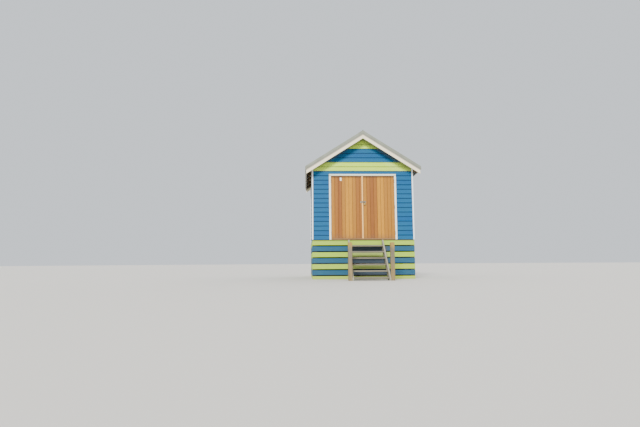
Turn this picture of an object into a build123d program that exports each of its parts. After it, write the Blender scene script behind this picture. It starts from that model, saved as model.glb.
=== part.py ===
"""Weatherboard beach hut on stumps, with a pair of boarded doors and a flight of open steps.

Millimetres. The origin is on the ground, under the middle of the walls.
+X is to the right as one faces the doors, +Y goes into the hut and +Z is up.
"""
import os
from math import cos, pi, radians, sin, sqrt, tan

from build123d import *

# The room, measured over its wall frames
wall_width = 3250
wall_depth = 3400
wall_thickness = 90
side_wall_height = 2325
floor_height = 1290

# Stumps and floor
stump_side = 120
bearer_width = 90
bearer_depth = 100
joist_width = 45
joist_depth = 100
joist_count = 9
floor_thickness = 28

# Skirt of spaced boards between the ground and the walls
skirt_rows = 7
skirt_board_gap = 30
close_skirt_joint = 2
skirt_lowest_top = 100
skirt_board_thickness = 25
skirt_top_drop = 22

# Roof, with the layers measured square to the slope
roof_pitch = 32.4
eave_overhang = 180
front_overhang = 275
rear_overhang = 125
rafter_width = 45
rafter_depth = 90
rafter_pairs = 5
purlin_width = 70
purlin_depth = 40
purlins_per_slope = 4
ridge_purlin_distance = 80
eave_purlin_distance = 2080
ridge_board_width = 30
ridge_board_depth = 130
fascia_thickness = 25
fascia_depth = 150
eave_block_thickness = 25
barge_depth = 203
barge_thickness = 25

# Corrugated sheets and folded metal
wave_pitch_nominal = 76
wave_height = 16
folds_per_wave = 6
sheet_thickness = 1.2
sheet_ridge_gap = 40
sheet_overhang = 30
metal_thickness = 2
capping_face = 105
capping_lap = 102
ridge_wing = 150
ridge_roll_radius = 14
seat_gap = 0.3

# Trim round the walls and the doorway
corner_board_face = 42
corner_board_proud = 35
corner_board_head_gap = 16
architrave_width = 60
architrave_thickness = 32
head_architrave_height = 65
jamb_thickness = 35
stop_width = 20
stop_depth = 25
sill_thickness = 32

# Pair of doors
doorway_width = 2076
doorway_height = 2050
door_thickness = 40
door_recess = 12
door_side_gap = 5
door_end_gap = 6
meeting_gap = 9
meeting_offset = 12
door_board_nominal = 113
board_groove_depth = 5
ledge_height = 110
ledge_thickness = 25
ledge_inset = 35
ledge_end_distance = 150
ledge_count = 3
brace_width = 90
meeting_strip_width = 45
meeting_strip_thickness = 12

# Butt hinges
hinge_height = 100
hinge_end_distance = 170
hinge_count = 3
hinge_plate_thickness = 2
hinge_plate_depth = 37
barrel_radius = 7
pin_radius = 3
pin_clearance = 0.3
pin_proud = 8
knuckle_height = 30
knuckle_gap = 1
knuckle_relief = 1.5

# Hasp plates and padlock
hasp_height = 60
hasp_thickness = 4
hasp_base = 52
hasp_level = 1190
staple_base = 78
staple_offset = 28
lug_height = 40
lug_reach = 40
lug_hole_radius = 6.5
shackle_radius = 4
shackle_bend = 15
shackle_leg = 22
shackle_seat_gap = 0.5
padlock_width = 56
padlock_height = 58
padlock_depth = 26
padlock_edge = 4

# Steps
first_step_drop = 218
step_rise = 195
step_going = 190
tread_depth = 240
tread_thickness = 45
tread_housing = 12
tread_play = 0.4
stringer_depth = 230
stringer_thickness = 42
stringer_margin = 25
stringer_top_drop = 45
stringer_foot_cut = 60
stairway_width = 1130
stairway_offset = 55
step_post_side = 115
step_post_height = 1110
step_post_distance = 1215

# Heights that follow from the floor
wall_base = floor_height - floor_thickness
joist_base = wall_base - joist_depth
bearer_base = joist_base - bearer_depth
skirt_top = wall_base - skirt_top_drop
doorway_top = floor_height + doorway_height
doorway_head = doorway_top + jamb_thickness

# Faces of the walls
half_width = wall_width / 2
half_depth = wall_depth / 2
inner_half_width = half_width - wall_thickness
inner_half_depth = half_depth - wall_thickness
skirt_face = half_depth + skirt_board_thickness
doorway_half = doorway_width / 2
jamb_outer = doorway_half + jamb_thickness

# Planes of the roof
slope = tan(radians(roof_pitch))
slope_cos = cos(radians(roof_pitch))
slope_sin = sin(radians(roof_pitch))
frame_depth = rafter_depth + purlin_depth
roof_half_width = half_width + corner_board_proud + eave_overhang
side_wall_top = wall_base + side_wall_height
ridge_height = side_wall_top + half_width * slope + frame_depth / slope_cos
front_roof_end = -half_depth - front_overhang
rear_roof_end = half_depth + rear_overhang
roof_length = rear_roof_end - front_roof_end
sheet_top = seat_gap + wave_height + sheet_thickness
capping_seat = sheet_top + seat_gap
capping_top = capping_seat + metal_thickness
capping_end = roof_half_width + sheet_overhang

# Planes of the doors
architrave_face = -half_depth - architrave_thickness
door_face = architrave_face + door_recess
door_back = door_face + door_thickness
door_bottom = wall_base + sill_thickness + door_end_gap
door_top = doorway_top - door_end_gap
door_height = door_top - door_bottom
door_edge = doorway_half - door_side_gap
left_meeting_edge = meeting_offset - meeting_gap / 2
right_meeting_edge = meeting_offset + meeting_gap / 2
stop_face = door_back + door_side_gap
ledge_back = door_back + ledge_thickness


def spread(low, high, count):
    """Places of a count of things, spaced evenly from the first to the last."""
    return [low + (high - low) * place / (count - 1) for place in range(count)]


def rectangle_between(low, high):
    """Draw a rectangle between two opposite corners."""
    with Locations(((low[0] + high[0]) / 2, (low[1] + high[1]) / 2)):
        Rectangle(high[0] - low[0], high[1] - low[1])


def roof_z(x, level):
    """Height of the slope at x, on the plane that lies level above the purlins' top."""
    return ridge_height - abs(x) * slope + level / slope_cos


def slope_band(side, x_near, x_far, low, high):
    """Corners of a layer of the roof with plumb ends, between two levels."""
    return [
        (side * x_near, roof_z(x_near, low)),
        (side * x_far, roof_z(x_far, low)),
        (side * x_far, roof_z(x_far, high)),
        (side * x_near, roof_z(x_near, high)),
    ]


def slope_point(side, along, level):
    """Point at a distance down the slope from the ridge, at a level of the roof."""
    x = along * slope_cos + level * slope_sin
    return (side * x, ridge_height - along * slope_sin + level * slope_cos)


def gable_outline(base):
    """Corners of a gable wall whose top carries the purlins."""
    return [
        (-half_width, base),
        (half_width, base),
        (half_width, roof_z(half_width, -purlin_depth)),
        (0, roof_z(0, -purlin_depth)),
        (-half_width, roof_z(half_width, -purlin_depth)),
    ]


def finish(part, label):
    """Name a finished piece and write it out."""
    part.label = label
    export_step(part, f"parts/{label}.step")


os.makedirs("parts", exist_ok=True)

# Floor: stumps carry bearers, bearers carry joists and joists carry the boards
stump_pitch_x = half_width - stump_side / 2
stump_pitch_y = half_depth - stump_side / 2

with BuildPart() as stumps:
    with BuildSketch():
        with GridLocations(stump_pitch_x, stump_pitch_y, 3, 3):
            Rectangle(stump_side, stump_side)
    extrude(amount=bearer_base)
finish(stumps.part, "stumps")

with BuildPart() as bearers:
    with BuildSketch(Plane.XY.offset(bearer_base)):
        with GridLocations(stump_pitch_x, wall_depth, 3, 1):
            Rectangle(bearer_width, wall_depth)
    extrude(amount=bearer_depth)
finish(bearers.part, "bearers")

joist_pitch = (wall_depth - joist_width) / (joist_count - 1)
with BuildPart() as floor_joists:
    with BuildSketch(Plane.XY.offset(joist_base)):
        with GridLocations(wall_width, joist_pitch, 1, joist_count):
            Rectangle(wall_width, joist_width)
    extrude(amount=joist_depth)
finish(floor_joists.part, "floor_joists")

with BuildPart() as floor:
    with BuildSketch(Plane.XY.offset(wall_base)):
        Rectangle(2 * inner_half_width, 2 * inner_half_depth)
    extrude(amount=floor_thickness)
finish(floor.part, "floor")

# Skirt: lime and blue boards nailed over the stumps, spaced in front and close elsewhere
skirt_tops = spread(skirt_top, skirt_lowest_top, skirt_rows)
skirt_board_height = skirt_tops[0] - skirt_tops[1] - skirt_board_gap
close_board_height = skirt_tops[0] - skirt_tops[1] - close_skirt_joint
skirt_outer_width = wall_width + 2 * skirt_board_thickness
for colour, tops in (("lime", skirt_tops[0::2]), ("blue", skirt_tops[1::2])):
    rows = [(max(top - skirt_board_height, 0), top) for top in tops]
    close_rows = [(max(top - close_board_height, 0), top) for top in tops]

    with BuildPart() as front_skirt_boards:
        with BuildSketch(Plane.XZ.offset(half_depth)):
            for low, high in rows:
                rectangle_between((-skirt_outer_width / 2, low), (skirt_outer_width / 2, high))
        extrude(amount=skirt_board_thickness)
    finish(front_skirt_boards.part, f"front_skirt_{colour}_boards")

    with BuildPart() as back_skirt_boards:
        with BuildSketch(Plane.XZ.offset(-skirt_face)):
            for low, high in close_rows:
                rectangle_between((-skirt_outer_width / 2, low), (skirt_outer_width / 2, high))
        extrude(amount=skirt_board_thickness)
    finish(back_skirt_boards.part, f"back_skirt_{colour}_boards")

    with BuildPart() as side_skirt_boards:
        with BuildSketch(Plane.YZ.offset(half_width), Plane.YZ.offset(-skirt_outer_width / 2)):
            for low, high in close_rows:
                rectangle_between((-half_depth, low), (half_depth, high))
        extrude(amount=skirt_board_thickness)
    finish(side_skirt_boards.part, f"side_skirt_{colour}_boards")

# Walls: framed panels standing on the joists
for name, side in (("left", -1), ("right", 1)):
    with BuildPart() as front_wall_side:
        with BuildSketch(Plane.XY.offset(wall_base)):
            with Locations((side * (jamb_outer + half_width) / 2, -half_depth)):
                Rectangle(half_width - jamb_outer, wall_thickness, align=(Align.CENTER, Align.MIN))
        extrude(amount=doorway_head - wall_base)
    finish(front_wall_side.part, f"front_wall_{name}")

    with BuildPart() as side_wall:
        with BuildSketch(Plane.XZ):
            Polygon(
                (side * inner_half_width, wall_base),
                (side * half_width, wall_base),
                (side * half_width, roof_z(half_width, -frame_depth)),
                (side * inner_half_width, roof_z(inner_half_width, -frame_depth)),
            )
        extrude(amount=inner_half_depth, both=True)
    finish(side_wall.part, f"{name}_wall")

with BuildPart() as front_wall_over_doors:
    with BuildSketch(Plane.XZ.offset(inner_half_depth)):
        Polygon(*gable_outline(doorway_head))
    extrude(amount=wall_thickness)
finish(front_wall_over_doors.part, "front_wall_over_doors")

with BuildPart() as back_wall:
    with BuildSketch(Plane.XZ.offset(-half_depth)):
        Polygon(*gable_outline(wall_base))
    extrude(amount=wall_thickness)
finish(back_wall.part, "back_wall")

# Corner boards: an L of two boards over each corner of the walls
corner_x = half_width + corner_board_proud
corner_y = half_depth + corner_board_proud
corner_board_top = roof_z(corner_x, -purlin_depth) - corner_board_head_gap
with BuildPart() as corner_boards:
    with BuildSketch(Plane.XY.offset(wall_base)):
        Polygon(
            (corner_x - corner_board_face, half_depth),
            (corner_x - corner_board_face, corner_y),
            (corner_x, corner_y),
            (corner_x, corner_y - corner_board_face),
            (half_width, corner_y - corner_board_face),
            (half_width, half_depth),
        )
        mirror(about=Plane.YZ)
        mirror(about=Plane.XZ)
    extrude(amount=corner_board_top - wall_base)
finish(corner_boards.part, "corner_boards")

# Doorway: sill, rebated jambs and head, with architraves over the joints
with BuildPart() as door_sill:
    with BuildSketch(Plane.XY.offset(wall_base)):
        rectangle_between((-doorway_half, architrave_face), (doorway_half, -inner_half_depth))
    extrude(amount=sill_thickness)
finish(door_sill.part, "door_sill")

with BuildPart() as door_jambs:
    with BuildSketch(Plane.XY.offset(wall_base)):
        rectangle_between((doorway_half, -half_depth), (jamb_outer, -inner_half_depth))
        mirror(about=Plane.YZ)
    extrude(amount=doorway_top - wall_base)
    with BuildSketch(Plane.XY.offset(wall_base + sill_thickness)):
        rectangle_between((doorway_half - stop_width, stop_face), (doorway_half, stop_face + stop_depth))
        mirror(about=Plane.YZ)
    extrude(amount=doorway_top - wall_base - sill_thickness)
finish(door_jambs.part, "door_jambs")

with BuildPart() as head_jamb:
    with BuildSketch(Plane.YZ):
        rectangle_between((-half_depth, doorway_top), (-inner_half_depth, doorway_head))
    extrude(amount=jamb_outer, both=True)
    with BuildSketch(Plane.YZ):
        rectangle_between((stop_face, doorway_top - stop_width), (stop_face + stop_depth, doorway_top))
    extrude(amount=doorway_half - stop_width, both=True)
finish(head_jamb.part, "head_jamb")

with BuildPart() as side_architraves:
    with BuildSketch(Plane.XY.offset(wall_base)):
        rectangle_between((doorway_half, architrave_face), (doorway_half + architrave_width, -half_depth))
        mirror(about=Plane.YZ)
    extrude(amount=doorway_top - wall_base)
finish(side_architraves.part, "side_architraves")

with BuildPart() as head_architrave:
    with BuildSketch(Plane.XZ.offset(half_depth)):
        with Locations((0, doorway_top)):
            Rectangle(
                doorway_width + 2 * architrave_width,
                head_architrave_height,
                align=(Align.CENTER, Align.MIN),
            )
    extrude(amount=architrave_thickness)
finish(head_architrave.part, "head_architrave")

# Roof frame: rafters on a ridge board, with purlins across them and over the gables
rafter_limit = inner_half_depth - rafter_width / 2
rafter_places = spread(-rafter_limit, rafter_limit, rafter_pairs)
rafter_pitch = rafter_places[1] - rafter_places[0]
rafter_end = roof_half_width - fascia_thickness

with BuildPart() as rafters:
    with BuildSketch(*[Plane.XZ.offset(-place) for place in rafter_places]):
        for side in (-1, 1):
            Polygon(*slope_band(side, ridge_board_width / 2, rafter_end, -frame_depth, -purlin_depth))
    extrude(amount=rafter_width / 2, both=True)
finish(rafters.part, "rafters")

with BuildPart() as ridge_board:
    with BuildSketch(Plane.XZ):
        with Locations((0, roof_z(ridge_board_width / 2, -purlin_depth))):
            Rectangle(ridge_board_width, ridge_board_depth, align=(Align.CENTER, Align.MAX))
    extrude(amount=inner_half_depth, both=True)
finish(ridge_board.part, "ridge_board")

purlin_places = spread(ridge_purlin_distance, eave_purlin_distance, purlins_per_slope)
with BuildPart() as purlins:
    with BuildSketch(Plane.XZ.offset(-rear_roof_end)):
        for side in (-1, 1):
            for place in purlin_places:
                with Locations(slope_point(side, place, -purlin_depth / 2)):
                    Rectangle(purlin_width, purlin_depth, rotation=-side * roof_pitch)
    extrude(amount=roof_length)
finish(purlins.part, "purlins")

with BuildPart() as fascias:
    with BuildSketch(Plane.XZ.offset(-rear_roof_end)):
        fascia_base = roof_z(roof_half_width, 0) - fascia_depth
        for side in (-1, 1):
            Polygon(
                (side * rafter_end, fascia_base),
                (side * roof_half_width, fascia_base),
                (side * roof_half_width, roof_z(roof_half_width, 0)),
                (side * rafter_end, roof_z(rafter_end, 0)),
            )
    extrude(amount=roof_length)
finish(fascias.part, "fascias")

with BuildPart() as eave_blocks:
    block_length = rafter_pitch - rafter_width
    block_places = [place + rafter_pitch / 2 for place in rafter_places[:-1]]
    with BuildSketch(*[Plane.XZ.offset(-place) for place in block_places]):
        for side in (-1, 1):
            Polygon(*slope_band(side, half_width - eave_block_thickness, half_width, -frame_depth, 0))
    extrude(amount=block_length / 2, both=True)
finish(eave_blocks.part, "eave_blocks")

# Roof covering: corrugated sheets under folded barge cappings and a rolled ridge cap
wave_count = round(roof_length / wave_pitch_nominal)
wave_pitch = roof_length / wave_count
sheet_run = capping_end / slope_cos - sheet_ridge_gap
roof_middle = (front_roof_end + rear_roof_end) / 2

fold_pitch = wave_pitch / folds_per_wave
underside = []
for fold in range(wave_count * folds_per_wave + 1):
    wave_level = wave_height / 2 * (1 + cos(2 * pi * fold / folds_per_wave))
    underside.append((fold * fold_pitch - roof_length / 2, seat_gap + wave_level))
upper_side = [(along, level + sheet_thickness) for along, level in underside]

for name, side in (("left", -1), ("right", 1)):
    sheet_start_x, sheet_start_z = slope_point(side, sheet_ridge_gap, 0)
    sheet_plane = Plane(
        origin=(sheet_start_x, roof_middle, sheet_start_z),
        x_dir=(0, side, 0),
        z_dir=(side * slope_cos, 0, -slope_sin),
    )
    with BuildPart() as roof_sheet:
        with BuildSketch(sheet_plane):
            with BuildLine():
                Polyline(*underside, *reversed(upper_side), close=True)
            make_face()
        extrude(amount=sheet_run)
    finish(roof_sheet.part, f"{name}_roof_sheet")

    with BuildPart() as barge_boards:
        with BuildSketch(Plane.XZ.offset(-front_roof_end), Plane.XZ.offset(-rear_roof_end - barge_thickness)):
            Polygon(*slope_band(side, 0, roof_half_width, -barge_depth, 0))
        extrude(amount=barge_thickness)
    finish(barge_boards.part, f"{name}_barge_boards")

    front_face = barge_thickness - front_roof_end
    rear_face = rear_roof_end + barge_thickness
    with BuildPart() as barge_cappings:
        with BuildSketch(Plane.XZ.offset(front_face), Plane.XZ.offset(-rear_face - metal_thickness)):
            Polygon(*slope_band(side, 0, capping_end, capping_top - capping_face, capping_top))
        extrude(amount=metal_thickness)
        with BuildSketch(
            Plane.XZ.offset(front_face + metal_thickness - capping_lap),
            Plane.XZ.offset(-rear_face - metal_thickness),
        ):
            Polygon(*slope_band(side, 0, capping_end, capping_seat, capping_top))
        extrude(amount=capping_lap)
    finish(barge_cappings.part, f"{name}_barge_cappings")

ridge_seat = capping_top + seat_gap
ridge_top = ridge_seat + metal_thickness
ridge_length = roof_length + 2 * (barge_thickness + metal_thickness)
with BuildPart() as ridge_cap:
    with BuildSketch(Plane.XZ.offset(-roof_middle)):
        with Locations((0, roof_z(0, ridge_seat))):
            Circle(ridge_roll_radius)
            Circle(ridge_roll_radius - metal_thickness, mode=Mode.SUBTRACT)
        Polygon(
            (0, roof_z(0, ridge_seat)),
            (-ridge_wing, roof_z(ridge_wing, ridge_seat)),
            (-ridge_wing, roof_z(ridge_wing, -capping_face)),
            (ridge_wing, roof_z(ridge_wing, -capping_face)),
            (ridge_wing, roof_z(ridge_wing, ridge_seat)),
            mode=Mode.SUBTRACT,
        )
        for side in (-1, 1):
            Polygon(*slope_band(side, 0, ridge_wing, ridge_seat, ridge_top))
        with Locations((0, roof_z(0, ridge_seat))):
            Circle(ridge_roll_radius - metal_thickness, mode=Mode.SUBTRACT)
    extrude(amount=ridge_length / 2, both=True)
finish(ridge_cap.part, "ridge_cap")


# Doors: boarded leaves on ledges and braces, opening outwards
def leaf_section(edge_low, edge_high):
    """Draw a leaf of upright boards with V-shaped joints on both faces."""
    width = edge_high - edge_low
    boards = round(width / door_board_nominal)
    rectangle_between((edge_low, door_face), (edge_high, door_back))
    joints = [edge_low + width * joint / boards for joint in range(1, boards)]
    with Locations(*[(joint, face) for joint in joints for face in (door_face, door_back)]):
        Rectangle(board_groove_depth * sqrt(2), board_groove_depth * sqrt(2), rotation=45, mode=Mode.SUBTRACT)


def brace_outline(x_foot, x_head, foot, head):
    """Corners of a brace rising from the hinge side, cut level at both ends."""
    lean = brace_width * sqrt(1 + ((x_head - x_foot) / (head - foot)) ** 2)
    inward = 1 if x_head > x_foot else -1
    return [
        (x_foot, foot),
        (x_foot + inward * lean, foot),
        (x_head, head),
        (x_head - inward * lean, head),
    ]


ledge_levels = spread(door_bottom + ledge_end_distance, door_top - ledge_end_distance, ledge_count)
leaf_edges = {
    "left": (-door_edge, left_meeting_edge),
    "right": (right_meeting_edge, door_edge),
}
for name, (edge_low, edge_high) in leaf_edges.items():
    with BuildPart() as door_leaf:
        with BuildSketch(Plane.XY.offset(door_bottom)):
            leaf_section(edge_low, edge_high)
        extrude(amount=door_height)
    finish(door_leaf.part, f"{name}_door")

    ledge_low = edge_low + ledge_inset
    ledge_high = edge_high - ledge_inset
    hinge_side, meeting_side = (ledge_low, ledge_high) if name == "left" else (ledge_high, ledge_low)
    with BuildPart() as door_ledges:
        with BuildSketch(Plane.XZ.offset(-ledge_back)):
            for level in ledge_levels:
                rectangle_between(
                    (ledge_low, level - ledge_height / 2),
                    (ledge_high, level + ledge_height / 2),
                )
            for below, above in zip(ledge_levels, ledge_levels[1:]):
                foot = below + ledge_height / 2
                head = above - ledge_height / 2
                Polygon(*brace_outline(hinge_side, meeting_side, foot, head))
        extrude(amount=ledge_thickness)
    finish(door_ledges.part, f"{name}_door_ledges")

with BuildPart() as meeting_strip:
    with BuildSketch(Plane.XY.offset(door_bottom)):
        rectangle_between(
            (left_meeting_edge - meeting_strip_width, door_face - meeting_strip_thickness),
            (left_meeting_edge, door_face),
        )
    extrude(amount=door_height)
finish(meeting_strip.part, "meeting_strip")

# Butt hinges: one plate on the jamb with the pin, the other on the edge of the leaf
hinge_levels = spread(door_bottom + hinge_end_distance, door_top - hinge_end_distance, hinge_count)
pin_x = doorway_half - door_side_gap / 2
pin_y = architrave_face - pin_proud
plate_front = pin_y + barrel_radius + knuckle_relief
plate_back = pin_y + barrel_radius + hinge_plate_depth
moving_knuckle = (knuckle_height, hinge_height - knuckle_height)
fixed_knuckles = ((0, moving_knuckle[0] - knuckle_gap), (moving_knuckle[1] + knuckle_gap, hinge_height))
moving_plate_x = door_edge + hinge_plate_thickness / 2

with BuildPart() as door_hinge_plates:
    for level in hinge_levels:
        base = level - hinge_height / 2
        with BuildSketch(Plane.XY.offset(base)):
            rectangle_between((doorway_half - hinge_plate_thickness, plate_front), (doorway_half, plate_back))
            with Locations((pin_x, pin_y)):
                Circle(pin_radius)
            mirror(about=Plane.YZ)
        extrude(amount=hinge_height)
        for low, high in fixed_knuckles:
            with BuildSketch(Plane.XY.offset(base + low)):
                with Locations((pin_x, pin_y)):
                    Circle(barrel_radius)
                rectangle_between((doorway_half - hinge_plate_thickness, pin_y), (doorway_half, plate_front))
                mirror(about=Plane.YZ)
            extrude(amount=high - low)
finish(door_hinge_plates.part, "door_hinge_plates")

for name, side in (("left", -1), ("right", 1)):
    with BuildPart() as hinge_leaves:
        for level in hinge_levels:
            base = level - hinge_height / 2
            with BuildSketch(Plane.XY.offset(base)):
                with Locations((side * moving_plate_x, (plate_front + plate_back) / 2)):
                    Rectangle(hinge_plate_thickness, plate_back - plate_front)
            extrude(amount=hinge_height)
            with BuildSketch(Plane.XY.offset(base + moving_knuckle[0])):
                with Locations((side * pin_x, pin_y)):
                    Circle(barrel_radius)
                with Locations((side * moving_plate_x, (pin_y + plate_front) / 2)):
                    Rectangle(hinge_plate_thickness, plate_front - pin_y)
                with Locations((side * pin_x, pin_y)):
                    Circle(pin_radius + pin_clearance, mode=Mode.SUBTRACT)
            extrude(amount=moving_knuckle[1] - moving_knuckle[0])
    finish(hinge_leaves.part, f"{name}_door_hinge_leaves")

# Fastening: a stepped hasp on the left leaf, a staple on the right one and its padlock
hasp_centre = floor_height + hasp_level
strip_face = door_face - meeting_strip_thickness
hasp_face = strip_face - hasp_thickness
strip_side = left_meeting_edge - meeting_strip_width
lug_front = door_face - lug_reach
hasp_low = hasp_centre - hasp_height / 2
lug_low = hasp_centre - lug_height / 2
lug_hole_y = door_face - lug_reach + lug_height / 2 - lug_hole_radius
hasp_lug_x = left_meeting_edge - hasp_thickness

with BuildPart() as hasp:
    with BuildSketch(Plane.XY.offset(hasp_low)):
        rectangle_between((strip_side - hasp_base, door_face - hasp_thickness), (strip_side, door_face))
        rectangle_between((strip_side - hasp_thickness, hasp_face), (strip_side, door_face))
        rectangle_between((strip_side - hasp_thickness, hasp_face), (left_meeting_edge, strip_face))
    extrude(amount=hasp_height)
    with BuildSketch(Plane.XY.offset(lug_low)):
        rectangle_between((hasp_lug_x - hasp_thickness, lug_front), (hasp_lug_x, strip_face))
    extrude(amount=lug_height)
    with Locations(Plane.YZ.offset(hasp_lug_x)):
        with Locations((lug_hole_y, hasp_centre)):
            Cylinder(lug_hole_radius, 2 * hasp_thickness, mode=Mode.SUBTRACT)
finish(hasp.part, "hasp")

staple_low = right_meeting_edge + hasp_thickness
staple_lug_x = staple_low + staple_offset
with BuildPart() as staple:
    with BuildSketch(Plane.XY.offset(hasp_low)):
        rectangle_between((staple_low, door_face - hasp_thickness), (staple_low + staple_base, door_face))
    extrude(amount=hasp_height)
    with BuildSketch(Plane.XY.offset(lug_low)):
        rectangle_between((staple_lug_x, lug_front), (staple_lug_x + hasp_thickness, door_face))
    extrude(amount=lug_height)
    with Locations(Plane.YZ.offset(staple_lug_x)):
        with Locations((lug_hole_y, hasp_centre)):
            Cylinder(lug_hole_radius, 2 * hasp_thickness, mode=Mode.SUBTRACT)
finish(staple.part, "staple")

padlock_x = staple_lug_x + hasp_thickness / 2
shackle_crown = hasp_centre - lug_hole_radius + shackle_radius + shackle_seat_gap
bend_centre = shackle_crown - shackle_bend
padlock_top = bend_centre - shackle_leg
with BuildPart() as padlock:
    with BuildSketch(Plane.XY.offset(padlock_top - padlock_height)):
        with Locations((padlock_x, lug_hole_y)):
            RectangleRounded(padlock_width, padlock_depth, padlock_edge)
    extrude(amount=padlock_height)
    with BuildLine(Plane.XZ.offset(-lug_hole_y)) as shackle_line:
        Line((padlock_x - shackle_bend, padlock_top), (padlock_x - shackle_bend, bend_centre))
        ThreePointArc(
            (padlock_x - shackle_bend, bend_centre),
            (padlock_x, shackle_crown),
            (padlock_x + shackle_bend, bend_centre),
        )
        Line((padlock_x + shackle_bend, bend_centre), (padlock_x + shackle_bend, padlock_top))
    with BuildSketch(Plane.XY.offset(padlock_top)):
        with Locations((padlock_x - shackle_bend, lug_hole_y)):
            Circle(shackle_radius)
    sweep(path=shackle_line.line)
finish(padlock.part, "padlock")

# Steps: treads housed in two stringers, with a post outside each stringer's foot
stair_left = stairway_offset - stairway_width / 2
stair_right = stairway_offset + stairway_width / 2
nose_pitch = step_going / step_rise
nose_length = sqrt(1 + nose_pitch**2)
step_count = int(floor_height / step_rise)
tread_backs = [-skirt_face - tread_play - step_going * step for step in range(step_count)]
tread_tops = [floor_height - first_step_drop - step_rise * step for step in range(step_count)]
stringer_top = floor_height - stringer_top_drop


def stringer_edge(z, inset):
    """Y of a line along the flight at height z, set in square from the stringer's upper edge."""
    nose = tread_backs[0] - tread_depth - (tread_tops[0] - z) * nose_pitch
    return nose + (inset - stringer_margin) * nose_length


lower_edge_top = stringer_top - (stringer_edge(stringer_top, stringer_depth) + skirt_face) / nose_pitch
with BuildPart() as step_stringers:
    with BuildSketch(Plane.YZ.offset(stair_left), Plane.YZ.offset(stair_right - stringer_thickness)):
        Polygon(
            (-skirt_face, stringer_top),
            (stringer_edge(stringer_top, 0), stringer_top),
            (stringer_edge(stringer_foot_cut, 0), stringer_foot_cut),
            (stringer_edge(stringer_foot_cut, 0), 0),
            (stringer_edge(0, stringer_depth), 0),
            (-skirt_face, lower_edge_top),
        )
    extrude(amount=stringer_thickness)
    for back, top in zip(tread_backs, tread_tops):
        with Locations((stairway_offset, back - tread_depth / 2, top - tread_thickness / 2)):
            Box(
                stairway_width - 2 * stringer_thickness + 2 * tread_housing,
                tread_depth + 2 * tread_play,
                tread_thickness + 2 * tread_play,
                mode=Mode.SUBTRACT,
            )
finish(step_stringers.part, "step_stringers")

tread_length = stairway_width - 2 * stringer_thickness + 2 * tread_housing - 2 * tread_play
with BuildPart() as step_treads:
    for back, top in zip(tread_backs, tread_tops):
        with BuildSketch(Plane.XY.offset(top - tread_thickness)):
            with Locations((stairway_offset, back)):
                Rectangle(tread_length, tread_depth, align=(Align.CENTER, Align.MAX))
        extrude(amount=tread_thickness)
finish(step_treads.part, "step_treads")

with BuildPart() as step_posts:
    with BuildSketch():
        for x in (stair_left - step_post_side / 2, stair_right + step_post_side / 2):
            with Locations((x, -skirt_face - step_post_distance)):
                Rectangle(step_post_side, step_post_side)
    extrude(amount=step_post_height)
finish(step_posts.part, "step_posts")
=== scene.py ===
"""Beach hut on stumps, with lapped boards in blue and lime, timber double doors and open steps."""
import math

import bmesh
import bpy
from mathutils import Matrix, Vector


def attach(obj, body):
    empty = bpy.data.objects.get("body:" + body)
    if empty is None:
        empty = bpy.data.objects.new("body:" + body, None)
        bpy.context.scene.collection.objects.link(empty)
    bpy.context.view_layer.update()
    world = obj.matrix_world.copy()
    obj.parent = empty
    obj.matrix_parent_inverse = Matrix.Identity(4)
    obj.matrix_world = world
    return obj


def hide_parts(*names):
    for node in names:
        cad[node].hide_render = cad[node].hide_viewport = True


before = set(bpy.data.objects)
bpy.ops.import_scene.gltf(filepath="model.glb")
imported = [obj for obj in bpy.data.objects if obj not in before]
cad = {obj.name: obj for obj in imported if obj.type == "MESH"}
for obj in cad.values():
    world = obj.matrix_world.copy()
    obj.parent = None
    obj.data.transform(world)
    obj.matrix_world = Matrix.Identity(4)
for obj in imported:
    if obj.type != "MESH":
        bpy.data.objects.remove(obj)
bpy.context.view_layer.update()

# Camera: it stands in front of the hut, left of its middle and half a metre up, and looks
# slightly upwards, as the photograph does.
camera_place = Vector((-1.872, -15.62, 0.53))
camera_yaw = math.radians(1.95)
camera_climb = math.radians(6.47)
camera_roll = math.radians(-0.335)

ahead = Vector((math.sin(camera_yaw) * math.cos(camera_climb),
                math.cos(camera_yaw) * math.cos(camera_climb),
                math.sin(camera_climb)))
level_right = Vector((math.cos(camera_yaw), -math.sin(camera_yaw), 0))
level_up = level_right.cross(ahead)
camera_right = level_right * math.cos(camera_roll) + level_up * math.sin(camera_roll)
camera_up = level_up * math.cos(camera_roll) - level_right * math.sin(camera_roll)

camera = bpy.data.objects.new("camera", bpy.data.cameras.new("camera"))
camera.data.sensor_width = 36
camera.data.lens = 24.36
camera.data.clip_end = 500
camera.matrix_world = Matrix((
    (camera_right.x, camera_up.x, -ahead.x, camera_place.x),
    (camera_right.y, camera_up.y, -ahead.y, camera_place.y),
    (camera_right.z, camera_up.z, -ahead.z, camera_place.z),
    (0, 0, 0, 1),
))
bpy.context.scene.collection.objects.link(camera)
bpy.context.scene.camera = camera


# Studio: a pale matt floor in even pale light, with one broad soft lamp high on the left in
# front and a weaker one behind, so that every side of the hut can be seen.
def node(tree, kind, inputs=None, **settings):
    """Add a shader node, set it, and join or fill its inputs."""
    made = tree.nodes.new("ShaderNode" + kind)
    for name, value in settings.items():
        setattr(made, name, value)
    for socket, value in (inputs or {}).items():
        if isinstance(value, bpy.types.NodeSocket):
            tree.links.new(value, made.inputs[socket])
        else:
            made.inputs[socket].default_value = value
    return made


def tint(code):
    """Linear colour of a colour picked on a screen."""
    parts = [(code >> shift & 255) / 255 for shift in (16, 8, 0)]
    return [part / 12.92 if part < 0.04 else ((part + 0.055) / 1.055) ** 2.4 for part in parts] + [1]


def new_material(name):
    """Start a node material and give its tree, its shader and the object's own coordinates."""
    material = bpy.data.materials.new(name)
    material.use_nodes = True
    tree = material.node_tree
    return material, tree, tree.nodes["Principled BSDF"], node(tree, "TexCoord").outputs["Object"]


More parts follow.
